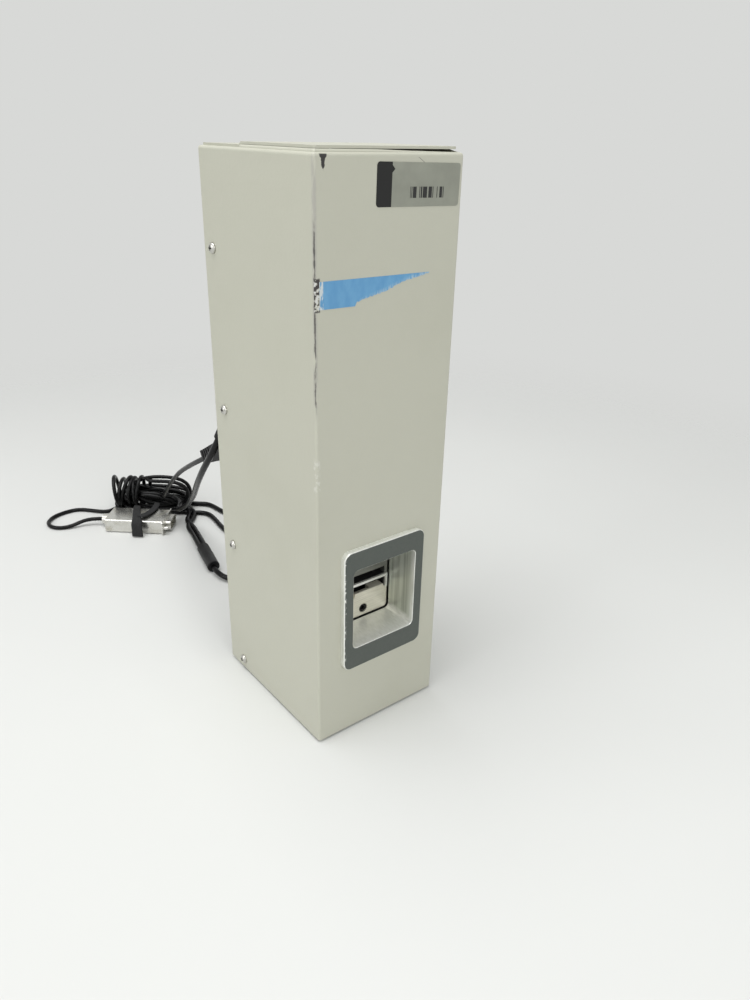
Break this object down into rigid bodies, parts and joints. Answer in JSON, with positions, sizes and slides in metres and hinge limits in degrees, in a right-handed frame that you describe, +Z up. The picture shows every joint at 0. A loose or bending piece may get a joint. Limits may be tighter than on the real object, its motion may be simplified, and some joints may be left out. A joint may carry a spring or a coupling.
{
  "type": "automated cell counter",
  "caption": "Slim upright bench instrument of folded sheet metal with a motorised slide stage behind a machined bezel, focusing optics inside and a cabled connector at the rear.",
  "frame": {"origin": "middle of the tower's footprint, on the bench", "axes": "+Z up, +X to the right of the front, +Y to the back; the bezel faces -Y"},
  "size_m": [0.1594, 0.3914, 0.3206],
  "materials": {
    "cover_paint": "satin powder coat, fine texture",
    "chassis_paint": "satin powder coat, fine texture",
    "bezel_metal": "machined, grey face with bright edges",
    "stage_metal": "machined",
    "gate_metal": "bead blasted grey",
    "plated_steel": "zinc plated",
    "black_oxide": "black oxide",
    "ground_steel": "ground",
    "machined_aluminium": "machined",
    "black_anodised": "black anodised",
    "nut_brass": "turned",
    "lens_glass": "polished",
    "motor_case": "plain",
    "circuit_board": "solder mask",
    "foot_rubber": "matt",
    "black_moulding": "moulded",
    "plug_shell": "nickel plated, dulled",
    "cord_black": "flexible vinyl"
  },
  "bodies": {
    "stage": {"stage_block": "stage_metal", "stage_cap_screw": "black_oxide", "slide_tray": "stage_metal", "slide_guides": "machined_aluminium", "slide_gate": "gate_metal", "stage_carriage": "machined_aluminium", "tray_spacers": "plated_steel", "stage_nut": "nut_brass"},
    "stage_screw": {"stage_screw": "ground_steel"},
    "focus": {"focus_carriage": "machined_aluminium", "focus_nut": "nut_brass", "objective": "black_anodised", "objective_lens": "lens_glass"},
    "focus_screw": {"focus_screw": "ground_steel"},
    "rocker": {"power_rocker": "black_moulding"},
    "root": {"bezel": "bezel_metal", "bezel_clamp": "plated_steel", "bezel_screws": "plated_steel", "board_standoffs": "plated_steel", "camera": "black_anodised", "camera_bracket": "machined_aluminium", "chassis": "chassis_paint", "column_plate": "machined_aluminium", "column_screws": "plated_steel", "condenser_lens": "lens_glass", "control_board": "circuit_board", "cord_hank": "cord_black", "data_hood": "black_moulding", "data_socket": "plated_steel", "feet": "foot_rubber", "focus_bracket": "machined_aluminium", "focus_motor": "motor_case", "focus_rail": "ground_steel", "front_cover": "cover_paint", "guide_rods": "ground_steel", "lamp_cap": "black_anodised", "lamp_housing": "machined_aluminium", "led_board": "circuit_board", "optical_tube": "black_anodised", "power_inlet": "black_moulding", "power_switch": "black_moulding", "side_screws_left": "plated_steel", "side_screws_right": "plated_steel", "signal_cord_drop": "cord_black", "signal_cord_tail": "cord_black", "signal_plug": "plug_shell", "signal_plug_face": "plated_steel", "socket_posts": "plated_steel", "stage_frame": "machined_aluminium", "stage_motor": "motor_case", "supply_barrel": "black_moulding", "supply_coil": "cord_black", "supply_cord_bight": "cord_black", "supply_cord_drop": "cord_black", "supply_cord_end": "cord_black", "supply_cord_lead": "cord_black", "supply_cord_run": "cord_black", "supply_plug": "black_moulding", "tube_clamp": "machined_aluminium", "tube_lens": "lens_glass"}
  },
  "joints": [
    {"name": "stage_slide", "type": "slide", "parent": "root", "child": "stage", "axis": [0, 1, 0], "range_m": [-0.004, 0.008]},
    {"name": "stage_screw_spin", "type": "hinge", "parent": "root", "child": "stage_screw", "pos_m": [-0.03, 0, 0.051], "axis": [0, 1, 0], "range_deg": [-725, 1445]},
    {"name": "focus_slide", "type": "slide", "parent": "root", "child": "focus", "axis": [0, 0, 1], "range_m": [-0.003, 0.003]},
    {"name": "focus_screw_spin", "type": "hinge", "parent": "root", "child": "focus_screw", "pos_m": [0.026, -0.002, 0.13], "axis": [0, 0, 1], "range_deg": [-545, 545]},
    {"name": "rocker_press", "type": "hinge", "parent": "root", "child": "rocker", "pos_m": [0.025, 0.0501, 0.04], "axis": [1, 0, 0], "range_deg": [-18, 0]}
  ],
  "couplings": [
    {"joint": "stage_screw_spin", "follows": "stage_slide", "rad_per_m": 3141.6},
    {"joint": "focus_screw_spin", "follows": "focus_slide", "rad_per_m": 3141.6}
  ]
}
